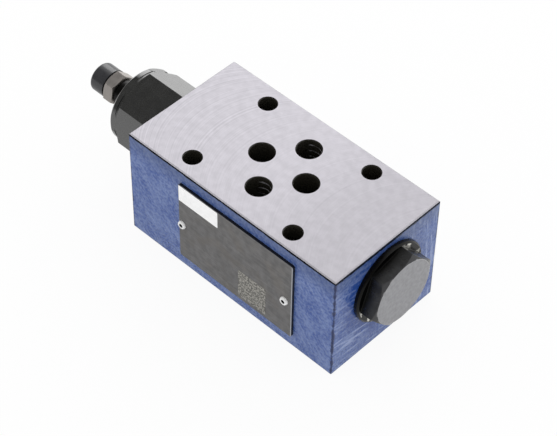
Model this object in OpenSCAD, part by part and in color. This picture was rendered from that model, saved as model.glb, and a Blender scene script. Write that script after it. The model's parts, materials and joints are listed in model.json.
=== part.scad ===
// Pressure relief valve in sandwich plate form, for the size 6 port pattern.
// The block is clamped between a subplate and a directional valve by four long bolts.
// Its origin is the centre of the bolt pattern, on the lower mounting face.
// X runs from the adjuster end to the plug end, and Z up to the upper mounting face.

/* [Body] */
// Width of the block
body_w = 43.6; // [43:0.1:50]
// Height between the two mounting faces
body_h = 40; // [39:0.5:50]
// From the bolt pattern's centre to the adjuster end
end_back = 40.5; // [40:0.5:46]
// From the bolt pattern's centre to the plug end
end_front = 41.5; // [41:0.5:48]
// Radius of the upright cast edges
edge_r = 0.5; // [0.3:0.1:4]
// Width of the broken edges round the two mounting faces
edge_break = 0.6; // [0.3:0.1:0.8]
// Height of the cartridge axis over the lower face
axis_h = 24; // [22:0.5:25]

/* [Port pattern] */
// Distance between the two pairs of bolts
bolt_x = 40.5; // [40:0.1:41]
// Distance between the bolts at the adjuster end
bolt_back_y = 31; // [30.5:0.1:31.5]
// Distance between the bolts at the plug end
bolt_front_y = 32.5; // [32:0.1:33]
// Diameter of the bolt holes
bolt_d = 5.5; // [5:0.1:6]
// Diameter of the four channels
port_d = 7.5; // [6:0.1:7.6]
// Pump and tank channels, along X from the centre
pt_x = 1.25; // [1:0.05:1.5]
// Pump and tank channels, to each side of the centre
pt_y = 10.4; // [10.2:0.1:10.6]
// First working channel, from the centre towards the adjuster
a_back = 7.55; // [7.3:0.05:7.8]
// Second working channel, from the centre towards the plug
b_front = 9.95; // [9.7:0.05:10.2]
// Chamfer on the holes of the upper face
hole_chamfer = 0.3; // [0.1:0.05:0.5]
// Diameter of the seal recesses in the lower face
recess_d = 12.4; // [12.2:0.1:12.8]
// Depth of the seal recesses
recess_h = 1.4; // [1.2:0.1:1.6]
// Section diameter of the port seals
port_seal_d = 1.78; // [1.7:0.02:1.8]

/* [Cartridge cavity] */
// Diameter of the mouth that holds the end seal
mouth_d = 24.6; // [24.2:0.1:25]
// Depth of the mouth
mouth_h = 1.9; // [1.7:0.1:2.2]
// Diameter of the cavity thread
thread_d = 22; // [21.6:0.1:22.4]
// Depth of the cavity thread
thread_h = 13; // [12.5:0.1:13.5]
// Diameter of the tank chamber
chamber_d = 18.8; // [18:0.1:19.4]
// Depth of the chamber's floor
chamber_h = 20.5; // [20.3:0.1:21]
// Diameter of the bore for the cartridge's nose
nose_d = 14; // [13.8:0.1:14.2]
// Length of that bore past the chamber's floor
nose_l = 6; // [5.5:0.1:6.3]
// Diameter of the way from the bore to the channel
link_d = 5.5; // [4:0.1:6]
// Diameter of the cored way from the chamber to the tank channel
tank_way_d = 4.4; // [3:0.1:5]
// Height of the cored way over the lower face
tank_way_z = 15; // [14.5:0.1:15.5]

/* [Fits] */
// Clearance on the radius of parts that are pushed together
push_gap = 0.03; // [0.02:0.01:0.06]
// Clearance on the radius of threads
thread_gap = 0.05; // [0.03:0.01:0.08]
// Clearance on the radius of parts that slide or turn
run_gap = 0.04; // [0.02:0.01:0.08]
// Clearance between end faces that move against each other
end_gap = 0.1; // [0.05:0.05:0.2]

/* [Adjuster] */
// Width across the flats of the sleeve
hex_af = 24; // [23.6:0.1:24.6]
// Radius to which the corners of the sleeve are turned
hex_corner_r = 13.8; // [13:0.1:13.8]
// Turn of the sleeve's hexagon about its axis
sleeve_turn = 53.8; // [0:0.1:60]
// Length of the sleeve's full hexagon
sleeve_hex_h = 15.5; // [15:0.1:18]
// Length of the sleeve's turned end
sleeve_end_h = 4; // [3:0.1:5]
// Diameter of the turned end
sleeve_end_d = 25; // [24.6:0.1:25.4]
// Thickness of the wall at the sleeve's outer end
sleeve_wall = 1.8; // [1.5:0.1:2.2]
// Diameter of the neck under the lock nut
neck_d = 8.4; // [8:0.1:9]
// Length of the neck
neck_h = 6.9; // [6:0.1:9]
// Diameter of the adjusting screw
screw_d = 6; // [5:0.1:6.4]
// Travel of the adjusting screw to each side of its rest
screw_travel = 2.5; // [1:0.1:2.6]
// Length of screw that stands out of the lock nut
screw_stand = 2.4; // [2.2:0.1:4]
// Width across the flats of the screw's socket
socket_af = 3; // [2:0.5:3.5]
// Depth of the screw's socket
socket_h = 3; // [2:0.5:5]
// Width across the flats of the lock nut
nut_af = 9.5; // [9:0.1:11]
// Height of the lock nut
nut_h = 4.3; // [3:0.1:5]
// Turn of the lock nut about its axis
nut_turn = 47.2; // [0:0.1:60]
// Diameter of the protective cap
cap_d = 9.7; // [9:0.1:11]
// Wall of the protective cap at its end
cap_wall = 0.6; // [0.5:0.1:1.5]
// Radius of the cap's outer edge
cap_edge_r = 0.9; // [0.5:0.1:1.2]

/* [Relief cartridge] */
// Diameter of the spring chamber in the sleeve
spring_bore_d = 11.2; // [11:0.1:11.6]
// Length of the spring plate
spring_plate_h = 3.5; // [3.2:0.1:4]
// Thickness of the pilot seat
seat_h = 3; // [2.6:0.1:3.4]
// Diameter of the hole in the pilot seat
seat_hole_d = 2; // [1.5:0.1:2.4]
// Diameter of the bush's tail and of the pilot seat
tail_d = 12.8; // [12.4:0.1:13.2]
// Length of the bush's tail
tail_h = 7.9; // [7.8:0.1:8.4]
// Diameter of the main spool
spool_d = 9; // [8.4:0.1:9.4]
// Length of the main spool
spool_h = 11; // [10.4:0.1:11]
// Diameter of the windows in the bush
window_d = 2.6; // [2:0.1:2.8]
// Diameter of the jet in the spool
jet_d = 3; // [2.4:0.1:3.4]
// Diameter of the jet's own hole
jet_hole_d = 0.8; // [0.5:0.1:1.2]
// Wire diameter of the pilot spring
pilot_wire_d = 1; // [0.8:0.1:1.1]
// Diameter of the pilot spring at the middle of its wire
pilot_coil_d = 8.2; // [7.6:0.1:8.6]
// Turns of the pilot spring
pilot_turns = 5; // [4:1:6]
// Wire diameter of the main spring
main_wire_d = 0.6; // [0.4:0.1:0.7]
// Diameter of the main spring at the middle of its wire
main_coil_d = 4.7; // [4.4:0.1:4.9]
// Turns of the main spring
main_turns = 8; // [6:1:10]

/* [End plug] */
// Width across the flats of the plug
plug_af = 22; // [20:0.1:23]
// Turn of the plug's hexagon about its axis
plug_turn = 17.7; // [0:0.1:60]
// Diameter of the plug's round flange
plug_flange_d = 27.2; // [26:0.1:28]
// Thickness of the flange
plug_flange_h = 1.6; // [1:0.1:2.5]
// Height of the plug over the end face
plug_h = 6.6; // [5.5:0.1:9]
// Length of the plug's thread
plug_thread_h = 11; // [8:0.5:12]

/* [Name plate] */
// Width of the plate
plate_w = 45.4; // [43:0.1:50]
// Height of the plate
plate_h = 30.2; // [24:0.1:32]
// Thickness of the plate
plate_t = 0.9; // [0.6:0.1:1.2]
// Middle of the plate along X
plate_x = 3.8; // [3:0.1:5]
// Middle of the plate over the lower face
plate_z = 20.3; // [18:0.1:21]
// Radius of the plate's corners
plate_corner_r = 0.6; // [0.2:0.1:2]
// Distance of the left pin from the plate's end
pin_inset_left = 1.3; // [1.2:0.1:3]
// Distance of the right pin from the plate's end
pin_inset_right = 2.9; // [1.2:0.1:4]
// Height of the pins over the lower face
pin_z = 19.1; // [16:0.1:22]
// Diameter of the pins' shanks
pin_d = 1.8; // [1.4:0.1:2]
// Diameter of the pins' heads
pin_head_d = 2.8; // [2.4:0.1:3.4]
// Height of the pins' heads
pin_head_h = 0.7; // [0.5:0.1:1]
// Length of the pins in the block
pin_h = 3.4; // [2.5:0.1:3.5]
// Diameter of the hole in the pins' heads
pin_eye_d = 1; // [0.6:0.1:1.4]

/* [Hidden] */
$fn = 96;
WIRE_SIDES = 6;
STEPS_PER_TURN = 14;
CLOSED_TURN = 1.1;
CUT = 1;

body_l = end_back + end_front;
ports = [[pt_x, pt_y], [pt_x, -pt_y], [-a_back, 0], [b_front, 0]];
bolts = [
    for (side = [-1, 1]) [-bolt_x / 2, side * bolt_back_y / 2],
    for (side = [-1, 1]) [bolt_x / 2, side * bolt_front_y / 2]
];

// Depths along the cartridge, from the adjuster end into the block
shank_end = thread_h - end_gap;
tail_start = shank_end - tail_h;
seat_start = tail_start - seat_h;
clamp_flange_h = 2;
clamp_flange_d = 16.4;
collar_h = 1.6;
collar_d = 17.2;
waist_d = 13.2;
inlet_d = 7.2;
stop_lip = 1.3;
spool_stop = chamber_h - stop_lip;
spool_start = spool_stop - spool_h;
spool_floor_h = 2;
spool_bore_d = 6;
balance_groove_h = 0.4;
balance_groove_r = 0.3;
balance_grooves = 2;
jet_inset = 0.2;
window_cover = 0.7;
window_u = spool_stop - window_cover - window_d / 2;
nose_h = chamber_h + nose_l;
bush_end = nose_h - 2 * end_gap;
nose_land_h = 1.9;
nose_groove_h = 2.6;
nose_groove_start = chamber_h + nose_land_h;
nose_groove_end = nose_groove_start + nose_groove_h;
backup_h = 0.8;
groove_gap = 0.05;
nose_seal_d = 1.3;
thread_chamfer = 0.8;
undercut_d = 20.8;

// Depths of the adjuster, counted outwards from the adjuster end
sleeve_h = sleeve_hex_h + sleeve_end_h;
spring_bore_end = sleeve_h - sleeve_wall;
plate_back = spring_bore_end - screw_travel - 2 * end_gap;
plate_front = plate_back - spring_plate_h;
spigot_h = 1.5;
spring_side_gap = 0.4;
spigot_d = pilot_coil_d - pilot_wire_d - 2 * spring_side_gap;
plate_groove_h = 1.4;
plate_seal_d = 1.2;
neck_end = sleeve_h + neck_h;
nut_start = neck_end + end_gap;
nut_end = nut_start + nut_h;
screw_end = nut_end + screw_stand;
screw_tip_d = 4;
screw_chamfer = 0.6;
cap_start = nut_end + end_gap;
cap_end = screw_end + screw_travel + 2 * end_gap + cap_wall;
cap_mouth_chamfer = 0.4;
shoulder_h = 1.1;
end_chamfer = 0.8;
end_groove_h = 0.7;
end_groove_r = 0.3;
seat_chamfer_h = 0.6;
hex_base_chamfer = 0.5;

// The pilot poppet, counted as the cartridge is
seat_cone_h = 1;
seat_edge = seat_start + seat_cone_h;
seat_gap = 0.03;
poppet_angle = 30;
poppet_tip_d = 0.6;
poppet_d = 4.4;
poppet_stem_h = 1.5;
poppet_cone_start = seat_edge - seat_gap - (poppet_d - seat_hole_d) / 2 / tan(poppet_angle);
poppet_flange_u = poppet_cone_start - poppet_stem_h;
poppet_flange_h = 1;
poppet_spigot_h = 2;

// The cored way to the tank channel, from the middle of the chamber's length
tank_way_x = -end_back + (thread_h + chamber_h) / 2;
tank_way_turn_y = -9.6;
tank_way_in_y = -3;
tank_way_in_drop = 4;
tank_way_swell = 0.6;

// The plug and the pins
plug_face_inset = 0.2;
plug_flange_edge = 0.5;
head_overlap = 1;
pin_head_edge = 0.2;
pin_crown_d = pin_head_d - 2 * pin_head_edge;
// Place of a pin along X, from the plate's end on that side
function pin_place(side) =
    plate_x + side * (plate_w / 2 - (side < 0 ? pin_inset_left : pin_inset_right));
pin_lead_h = 0.7;
pin_lead_d = 1.2;

// Puts a turned piece on the adjuster's axis, with its own Z running into the block
module in_adjuster_end() {
    translate([-end_back, 0, axis_h])
        rotate([0, 90, 0])
            children();
}

// Puts a turned piece on the same axis at the plug end, with its own Z running into the block
module in_plug_end() {
    translate([end_front, 0, axis_h])
        rotate([0, -90, 0])
            children();
}

// Puts a piece on the side of the block that carries the name plate, with its own Z running inwards
module in_plate_side(x, z) {
    translate([x, -body_w / 2, z])
        rotate([-90, 0, 0])
            children();
}

module turned(profile) {
    rotate_extrude()
        polygon(profile);
}

module round_ring(middle_r, section_d, at) {
    translate([0, 0, at])
        rotate_extrude()
            translate([middle_r, 0])
                circle(d = section_d);
}

module hexagon(af, from, to, turn) {
    translate([0, 0, from])
        rotate([0, 0, turn])
            cylinder(d = af / cos(30), h = to - from, $fn = 6);
}

module rounded_outline(w, h, r) {
    square([w - 2 * r, h], center = true);
    square([w, h - 2 * r], center = true);
    for (x = [-1, 1], y = [-1, 1])
        translate([x * (w / 2 - r), y * (h / 2 - r)])
            circle(r);
}

// A straight round way between two points
module cored_way(from, to, d) {
    run = to - from;
    translate(from)
        rotate([0, acos(run.z / norm(run)), atan2(run.y, run.x)])
            cylinder(d = d, h = norm(run));
}

// A coil of round wire along Z with its end turns closed up
module coil_spring(coil_d, wire_d, turns, length) {
    rings = turns * STEPS_PER_TURN;
    closed = wire_d * CLOSED_TURN;
    open_rise = (length - wire_d - 2 * closed) / (turns - 2);
    function rise(t) =
        t < 1 ? t * closed :
        t < turns - 1 ? closed + (t - 1) * open_rise :
        closed + (turns - 2) * open_rise + (t - turns + 1) * closed;
    function wire_point(t, side) =
        let (angle = 360 * t, a = 360 * side / WIRE_SIDES, r = coil_d / 2 + wire_d / 2 * cos(a))
        [r * cos(angle), r * sin(angle), wire_d / 2 + rise(t) + wire_d / 2 * sin(a)];
    points = [for (i = [0 : rings], j = [0 : WIRE_SIDES - 1]) wire_point(i / STEPS_PER_TURN, j)];
    walls = [
        for (i = [0 : rings - 1], j = [0 : WIRE_SIDES - 1])
            let (k = (j + 1) % WIRE_SIDES, a = i * WIRE_SIDES, b = a + WIRE_SIDES)
            [a + j, b + j, b + k, a + k]
    ];
    near_end = [for (j = [0 : WIRE_SIDES - 1]) j];
    far_end = [for (j = [WIRE_SIDES - 1 : -1 : 0]) rings * WIRE_SIDES + j];
    polyhedron(points, concat(walls, [near_end, far_end]), convexity = 4);
}

// The cavity for a cartridge, from its mouth to the channel that it serves
module cavity(channel_depth) {
    turned([
        [0, -CUT], [mouth_d / 2, -CUT], [mouth_d / 2, mouth_h], [thread_d / 2, mouth_h],
        [thread_d / 2, thread_h], [chamber_d / 2, thread_h], [chamber_d / 2, chamber_h],
        [nose_d / 2, chamber_h], [nose_d / 2, nose_h], [link_d / 2, nose_h],
        [link_d / 2, channel_depth], [0, channel_depth]
    ]);
}

// A hole through both mounting faces with a fine chamfer on the upper one
module face_hole(d) {
    translate([0, 0, -CUT])
        cylinder(d = d, h = body_h + 2 * CUT);
    translate([0, 0, body_h - hole_chamfer])
        cylinder(d1 = d, d2 = d + 4 * hole_chamfer, h = 2 * hole_chamfer);
}

// A square bar that breaks a straight edge of the block evenly on both sides
module edge_cut(length) {
    bar_w = edge_break * sqrt(2);
    rotate([45, 0, 0])
        cube([length + 2 * CUT, bar_w, bar_w], center = true);
}

// The bars along the edges of both mounting faces
module face_edges() {
    for (z = [0, body_h]) {
        for (side = [-1, 1])
            translate([0, side * body_w / 2, z])
                edge_cut(body_l);
        for (side = [-1, 1])
            translate([side * body_l / 2, 0, z])
                rotate([0, 0, 90])
                    edge_cut(body_w);
    }
}

// The way from the tank chamber to the tank channel, with a full elbow
module tank_way() {
    turn_in = [tank_way_x, tank_way_turn_y, tank_way_z];
    translate(turn_in)
        sphere(d = tank_way_d + tank_way_swell);
    cored_way([pt_x, -pt_y, tank_way_z], turn_in, tank_way_d);
    cored_way(turn_in, [tank_way_x, tank_way_in_y, axis_h - tank_way_in_drop], tank_way_d);
}

module valve_body() {
    color("steelblue")
        difference() {
            translate([(end_front - end_back) / 2, 0, 0])
                difference() {
                    linear_extrude(body_h)
                        rounded_outline(body_l, body_w, edge_r);
                    face_edges();
                }
            for (place = bolts)
                translate(place)
                    face_hole(bolt_d);
            for (place = ports)
                translate(place) {
                    face_hole(port_d);
                    translate([0, 0, -CUT])
                        cylinder(d = recess_d, h = recess_h + CUT);
                }
            in_adjuster_end()
                cavity(end_back - a_back);
            in_plug_end()
                cavity(end_front - b_front);
            tank_way();
            for (side = [-1, 1])
                in_plate_side(pin_place(side), pin_z)
                    translate([0, 0, -CUT])
                        cylinder(d = pin_d + 2 * push_gap, h = pin_h + end_gap + CUT);
        }
}

module name_plate() {
    color("dimgray")
        difference() {
            in_plate_side(plate_x, plate_z)
                translate([0, 0, -plate_t])
                    linear_extrude(plate_t)
                        rounded_outline(plate_w, plate_h, plate_corner_r);
            for (side = [-1, 1])
                in_plate_side(pin_place(side), pin_z)
                    translate([0, 0, -plate_t - CUT])
                        cylinder(d = pin_d + 2 * push_gap, h = plate_t + 2 * CUT);
        }
}

// A grooved drive pin with a low round head
module plate_pin(side) {
    color("gainsboro")
        in_plate_side(pin_place(side), pin_z)
            turned([
                [0, -plate_t], [pin_eye_d / 2, -plate_t], [pin_eye_d / 2, -plate_t - pin_head_h],
                [pin_crown_d / 2, -plate_t - pin_head_h], [pin_head_d / 2, -plate_t - pin_head_h / 2],
                [pin_head_d / 2, -plate_t], [pin_d / 2, -plate_t], [pin_d / 2, pin_h - pin_lead_h],
                [pin_lead_d / 2, pin_h], [0, pin_h]
            ]);
}

module plate_pin_left() {
    plate_pin(-1);
}

module plate_pin_right() {
    plate_pin(1);
}

// A ring for a port recess, pressed flat to the depth of the recess
module port_seal(place) {
    middle_r = (recess_d - port_seal_d) / 2 - push_gap;
    color("black")
        translate(place)
            rotate_extrude()
                intersection() {
                    translate([middle_r, recess_h / 2])
                        circle(d = port_seal_d);
                    translate([0, end_gap / 2])
                        square([recess_d, recess_h - end_gap / 2]);
                }
}

module port_seal_p() {
    port_seal(ports[0]);
}

module port_seal_t() {
    port_seal(ports[1]);
}

module port_seal_a() {
    port_seal(ports[2]);
}

module port_seal_b() {
    port_seal(ports[3]);
}

// The ring that lies between a thread's undercut and the mouth of its cavity
module mouth_seal() {
    section_d = min((mouth_d - undercut_d) / 2, mouth_h) - 2 * groove_gap;
    color("black")
        round_ring((mouth_d + undercut_d) / 4, section_d, mouth_h / 2);
}

module sleeve_seal() {
    in_adjuster_end()
        mouth_seal();
}

module end_plug_seal() {
    in_plug_end()
        mouth_seal();
}

// The threaded end of a sleeve or plug, with an undercut behind the seal and its root in the head
module threaded_end(length) {
    thread_r = thread_d / 2 - thread_gap;
    turned([
        [0, -head_overlap], [undercut_d / 2, -head_overlap], [undercut_d / 2, mouth_h], [thread_r, mouth_h],
        [thread_r, length - thread_chamfer], [thread_r - thread_chamfer, length], [0, length]
    ]);
}

module adjuster_sleeve() {
    end_r = sleeve_end_d / 2;
    foot = -sleeve_hex_h - shoulder_h;
    color("dimgray")
        in_adjuster_end()
            difference() {
                union() {
                    intersection() {
                        hexagon(hex_af, -sleeve_h, 0, sleeve_turn);
                        turned([
                            [0, 0], [hex_corner_r - 2 * hex_base_chamfer, 0],
                            [hex_corner_r, -hex_base_chamfer], [hex_corner_r, -sleeve_hex_h],
                            [end_r - end_groove_r, foot], [end_r - end_groove_r, foot - end_groove_h],
                            [end_r, foot - end_groove_h], [end_r, -sleeve_h + end_chamfer],
                            [end_r - end_chamfer, -sleeve_h], [0, -sleeve_h]
                        ]);
                    }
                    translate([0, 0, -neck_end])
                        cylinder(d = neck_d, h = neck_h + head_overlap);
                    threaded_end(shank_end);
                }
                turned([
                    [0, -neck_end - CUT], [screw_d / 2, -neck_end - CUT], [screw_d / 2, -spring_bore_end],
                    [spring_bore_d / 2, -spring_bore_end], [spring_bore_d / 2, seat_start],
                    [tail_d / 2 + push_gap, seat_start], [tail_d / 2 + push_gap, shank_end + CUT],
                    [0, shank_end + CUT]
                ]);
            }
}

module valve_bush() {
    nose_r = nose_d / 2 - push_gap;
    groove_r = nose_r - nose_seal_d - groove_gap;
    bore_r = spool_d / 2 + run_gap;
    flange_end = shank_end + clamp_flange_h;
    collar_start = chamber_h - collar_h;
    color("silver")
        in_adjuster_end()
            difference() {
                turned([
                    [bore_r, tail_start], [tail_d / 2, tail_start], [tail_d / 2, shank_end],
                    [clamp_flange_d / 2, shank_end], [clamp_flange_d / 2, flange_end],
                    [waist_d / 2, flange_end], [waist_d / 2, collar_start],
                    [collar_d / 2, collar_start], [collar_d / 2, chamber_h], [nose_r, chamber_h],
                    [nose_r, nose_groove_start], [groove_r, nose_groove_start],
                    [groove_r, nose_groove_end], [nose_r, nose_groove_end],
                    [nose_r, bush_end], [inlet_d / 2, bush_end],
                    [inlet_d / 2, spool_stop], [bore_r, spool_stop]
                ]);
                for (angle = [0, 90])
                    translate([0, 0, window_u])
                        rotate([90, 0, angle])
                            cylinder(d = window_d, h = collar_d, center = true);
            }
}

module bush_seal() {
    middle = (nose_groove_start + backup_h + nose_groove_end) / 2;
    color("black")
        in_adjuster_end()
            round_ring(nose_d / 2 - push_gap - nose_seal_d / 2, nose_seal_d, middle);
}

module bush_backup_ring() {
    outer_r = nose_d / 2 - push_gap;
    color("ivory")
        in_adjuster_end()
            translate([0, 0, nose_groove_start + groove_gap])
                difference() {
                    cylinder(r = outer_r, h = backup_h);
                    translate([0, 0, -CUT])
                        cylinder(r = outer_r - nose_seal_d, h = backup_h + 2 * CUT);
                }
}

module main_spool() {
    land_r = spool_d / 2;
    floor_u = spool_stop - spool_floor_h;
    color("silver")
        in_adjuster_end()
            difference() {
                turned([
                    [spool_bore_d / 2, spool_start], [land_r, spool_start],
                    [land_r, spool_stop], [jet_d / 2, spool_stop],
                    [jet_d / 2, floor_u], [spool_bore_d / 2, floor_u]
                ]);
                for (i = [1 : balance_grooves])
                    translate([0, 0, spool_start + i * spool_h / (balance_grooves + 2)])
                        difference() {
                            cylinder(r = land_r + CUT, h = balance_groove_h);
                            translate([0, 0, -CUT])
                                cylinder(r = land_r - balance_groove_r, h = balance_groove_h + 2 * CUT);
                        }
            }
}

module spool_jet() {
    color("goldenrod")
        in_adjuster_end()
            translate([0, 0, spool_stop - spool_floor_h + jet_inset])
                difference() {
                    cylinder(d = jet_d - 2 * push_gap, h = spool_floor_h - 2 * jet_inset);
                    translate([0, 0, -CUT])
                        cylinder(d = jet_hole_d, h = spool_floor_h + 2 * CUT);
                }
}

module main_spring() {
    color("lightsteelblue")
        in_adjuster_end()
            translate([0, 0, tail_start])
                coil_spring(main_coil_d, main_wire_d, main_turns, spool_stop - spool_floor_h - tail_start);
}

module pilot_seat() {
    hole_r = seat_hole_d / 2;
    color("silver")
        in_adjuster_end()
            turned([
                [hole_r, seat_edge], [hole_r + seat_edge - seat_start, seat_start],
                [tail_d / 2 - seat_chamfer_h, seat_start], [tail_d / 2, seat_start + seat_chamfer_h],
                [tail_d / 2, tail_start], [hole_r, tail_start]
            ]);
}

module pilot_poppet() {
    tip_u = seat_edge - seat_gap + (seat_hole_d - poppet_tip_d) / 2 / tan(poppet_angle);
    flange_r = (pilot_coil_d + pilot_wire_d) / 2;
    flange_back = poppet_flange_u - poppet_flange_h;
    color("silver")
        in_adjuster_end()
            turned([
                [0, tip_u], [poppet_tip_d / 2, tip_u], [poppet_d / 2, poppet_cone_start],
                [poppet_d / 2, poppet_flange_u], [flange_r, poppet_flange_u], [flange_r, flange_back],
                [spigot_d / 2, flange_back], [spigot_d / 2, flange_back - poppet_spigot_h],
                [0, flange_back - poppet_spigot_h]
            ]);
}

module pilot_spring() {
    seat_u = poppet_flange_u - poppet_flange_h;
    color("lightsteelblue")
        in_adjuster_end()
            translate([0, 0, -plate_front])
                coil_spring(pilot_coil_d, pilot_wire_d, pilot_turns, plate_front + seat_u);
}

module spring_plate() {
    plate_r = spring_bore_d / 2 - run_gap;
    groove_r = plate_r - plate_seal_d - groove_gap;
    middle = -(plate_front + plate_back) / 2;
    color("silver")
        in_adjuster_end()
            turned([
                [0, -plate_back], [plate_r, -plate_back], [plate_r, middle - plate_groove_h / 2],
                [groove_r, middle - plate_groove_h / 2], [groove_r, middle + plate_groove_h / 2],
                [plate_r, middle + plate_groove_h / 2], [plate_r, -plate_front],
                [spigot_d / 2, -plate_front], [spigot_d / 2, -plate_front + spigot_h],
                [0, -plate_front + spigot_h]
            ]);
}

module spring_plate_seal() {
    plate_r = spring_bore_d / 2 - run_gap;
    color("black")
        in_adjuster_end()
            round_ring(plate_r - plate_seal_d / 2, plate_seal_d, -(plate_front + plate_back) / 2);
}

module adjusting_screw() {
    thread_r = screw_d / 2 - thread_gap;
    color("gray")
        in_adjuster_end()
            difference() {
                turned([
                    [0, -plate_back], [screw_tip_d / 2, -plate_back],
                    [thread_r, -plate_back - thread_r + screw_tip_d / 2],
                    [thread_r, -screw_end + screw_chamfer], [thread_r - screw_chamfer, -screw_end],
                    [0, -screw_end]
                ]);
                hexagon(socket_af, -screw_end - CUT, -screw_end + socket_h, nut_turn);
            }
}

module lock_nut() {
    corner_r = nut_af / 2 / cos(30);
    flat_r = nut_af / 2;
    chamfer_h = (corner_r - flat_r) * tan(30) * 2;
    color("gray")
        in_adjuster_end()
            difference() {
                intersection() {
                    hexagon(nut_af, -nut_end, -nut_start, nut_turn);
                    turned([
                        [0, -nut_end], [2 * flat_r - corner_r, -nut_end], [corner_r, -nut_end + chamfer_h],
                        [corner_r, -nut_start - chamfer_h / 2], [flat_r, -nut_start], [0, -nut_start]
                    ]);
                }
                translate([0, 0, -nut_end - CUT])
                    cylinder(d = screw_d, h = nut_h + 2 * CUT);
            }
}

module protective_cap() {
    cap_r = cap_d / 2;
    cap_h = cap_end - cap_start;
    color("darkslategray")
        in_adjuster_end()
            translate([0, 0, -cap_end])
                difference() {
                    union() {
                        translate([0, 0, cap_edge_r])
                            cylinder(r = cap_r, h = cap_h - cap_edge_r);
                        cylinder(r = cap_r - cap_edge_r, h = cap_edge_r);
                        round_ring(cap_r - cap_edge_r, 2 * cap_edge_r, cap_edge_r);
                    }
                    translate([0, 0, cap_wall])
                        cylinder(d = screw_d, h = cap_h);
                    translate([0, 0, cap_h - cap_mouth_chamfer])
                        cylinder(d1 = screw_d, d2 = screw_d + 4 * cap_mouth_chamfer, h = 2 * cap_mouth_chamfer);
                }
}

module end_plug() {
    flange_r = plug_flange_d / 2;
    corner_r = plug_af / 2 / cos(30);
    front_r = plug_af / 2 - plug_face_inset;
    chamfer_h = (corner_r - front_r) * tan(30);
    root = -plug_flange_h + head_overlap;
    color("dimgray")
        in_plug_end() {
            intersection() {
                hexagon(plug_af, -plug_h, root, plug_turn);
                turned([
                    [0, -plug_h], [front_r, -plug_h], [corner_r, -plug_h + chamfer_h],
                    [corner_r, root], [0, root]
                ]);
            }
            turned([
                [0, -plug_flange_h], [flange_r - plug_flange_edge, -plug_flange_h],
                [flange_r, -plug_flange_h + plug_flange_edge], [flange_r, 0], [0, 0]
            ]);
            threaded_end(plug_thread_h);
        }
}

valve_body();
name_plate();
plate_pin_left();
plate_pin_right();
port_seal_p();
port_seal_t();
port_seal_a();
port_seal_b();
adjuster_sleeve();
sleeve_seal();
valve_bush();
bush_seal();
bush_backup_ring();
main_spool();
spool_jet();
main_spring();
pilot_seat();
pilot_poppet();
pilot_spring();
spring_plate();
spring_plate_seal();
adjusting_screw();
lock_nut();
protective_cap();
end_plug();
end_plug_seal();
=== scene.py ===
"""Looks of a hydraulic sandwich valve, laid out as an add-on and run as a script.

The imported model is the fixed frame. Each operator dresses one piece, or one group of like pieces, and the
last one sets the stage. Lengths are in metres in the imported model's frame. Finishes are written in
millimetres of the object's own coordinates.
"""

import json
import math
from functools import partial, reduce

import bmesh
import bpy
from bpy.props import FloatProperty, FloatVectorProperty, IntProperty, PointerProperty
from mathutils import Matrix, Vector
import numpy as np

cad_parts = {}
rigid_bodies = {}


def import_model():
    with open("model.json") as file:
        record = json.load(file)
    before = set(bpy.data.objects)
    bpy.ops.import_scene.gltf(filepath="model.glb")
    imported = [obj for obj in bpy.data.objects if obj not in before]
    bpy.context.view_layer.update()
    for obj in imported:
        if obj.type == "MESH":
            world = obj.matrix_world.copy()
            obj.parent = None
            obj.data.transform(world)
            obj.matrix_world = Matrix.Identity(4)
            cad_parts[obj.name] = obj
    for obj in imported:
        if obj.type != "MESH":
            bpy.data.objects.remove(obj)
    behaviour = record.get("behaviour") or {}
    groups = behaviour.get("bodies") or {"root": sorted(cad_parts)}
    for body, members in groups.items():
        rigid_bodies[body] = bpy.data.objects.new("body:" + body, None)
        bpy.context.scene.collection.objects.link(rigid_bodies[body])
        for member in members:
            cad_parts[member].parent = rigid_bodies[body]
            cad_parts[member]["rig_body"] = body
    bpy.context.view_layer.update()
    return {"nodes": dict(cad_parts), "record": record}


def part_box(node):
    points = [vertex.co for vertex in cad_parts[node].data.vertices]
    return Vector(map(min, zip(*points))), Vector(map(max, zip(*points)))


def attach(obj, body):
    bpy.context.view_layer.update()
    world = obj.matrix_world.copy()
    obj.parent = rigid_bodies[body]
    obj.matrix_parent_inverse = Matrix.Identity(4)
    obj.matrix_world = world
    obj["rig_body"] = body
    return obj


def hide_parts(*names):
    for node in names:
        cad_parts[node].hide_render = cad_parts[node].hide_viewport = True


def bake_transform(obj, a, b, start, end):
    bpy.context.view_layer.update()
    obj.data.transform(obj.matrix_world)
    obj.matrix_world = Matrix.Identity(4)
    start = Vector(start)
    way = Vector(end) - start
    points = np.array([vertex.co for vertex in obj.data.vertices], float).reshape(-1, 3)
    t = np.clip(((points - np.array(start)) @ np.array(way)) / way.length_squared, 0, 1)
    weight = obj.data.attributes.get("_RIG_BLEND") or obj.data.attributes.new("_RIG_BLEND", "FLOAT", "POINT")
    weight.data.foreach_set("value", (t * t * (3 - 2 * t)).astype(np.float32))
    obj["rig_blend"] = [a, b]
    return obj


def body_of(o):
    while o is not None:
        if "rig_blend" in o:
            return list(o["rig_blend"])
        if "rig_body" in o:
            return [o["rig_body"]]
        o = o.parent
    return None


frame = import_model()

bl_info = {
    "name": "Sandwich Valve Looks",
    "version": (1, 0, 0),
    "blender": (4, 5, 0),
    "location": "View3D > Sidebar > Valve",
    "description": "Finishes, fine pieces and stage of a hydraulic sandwich valve",
    "category": "Object",
}

MM = 0.001

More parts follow.
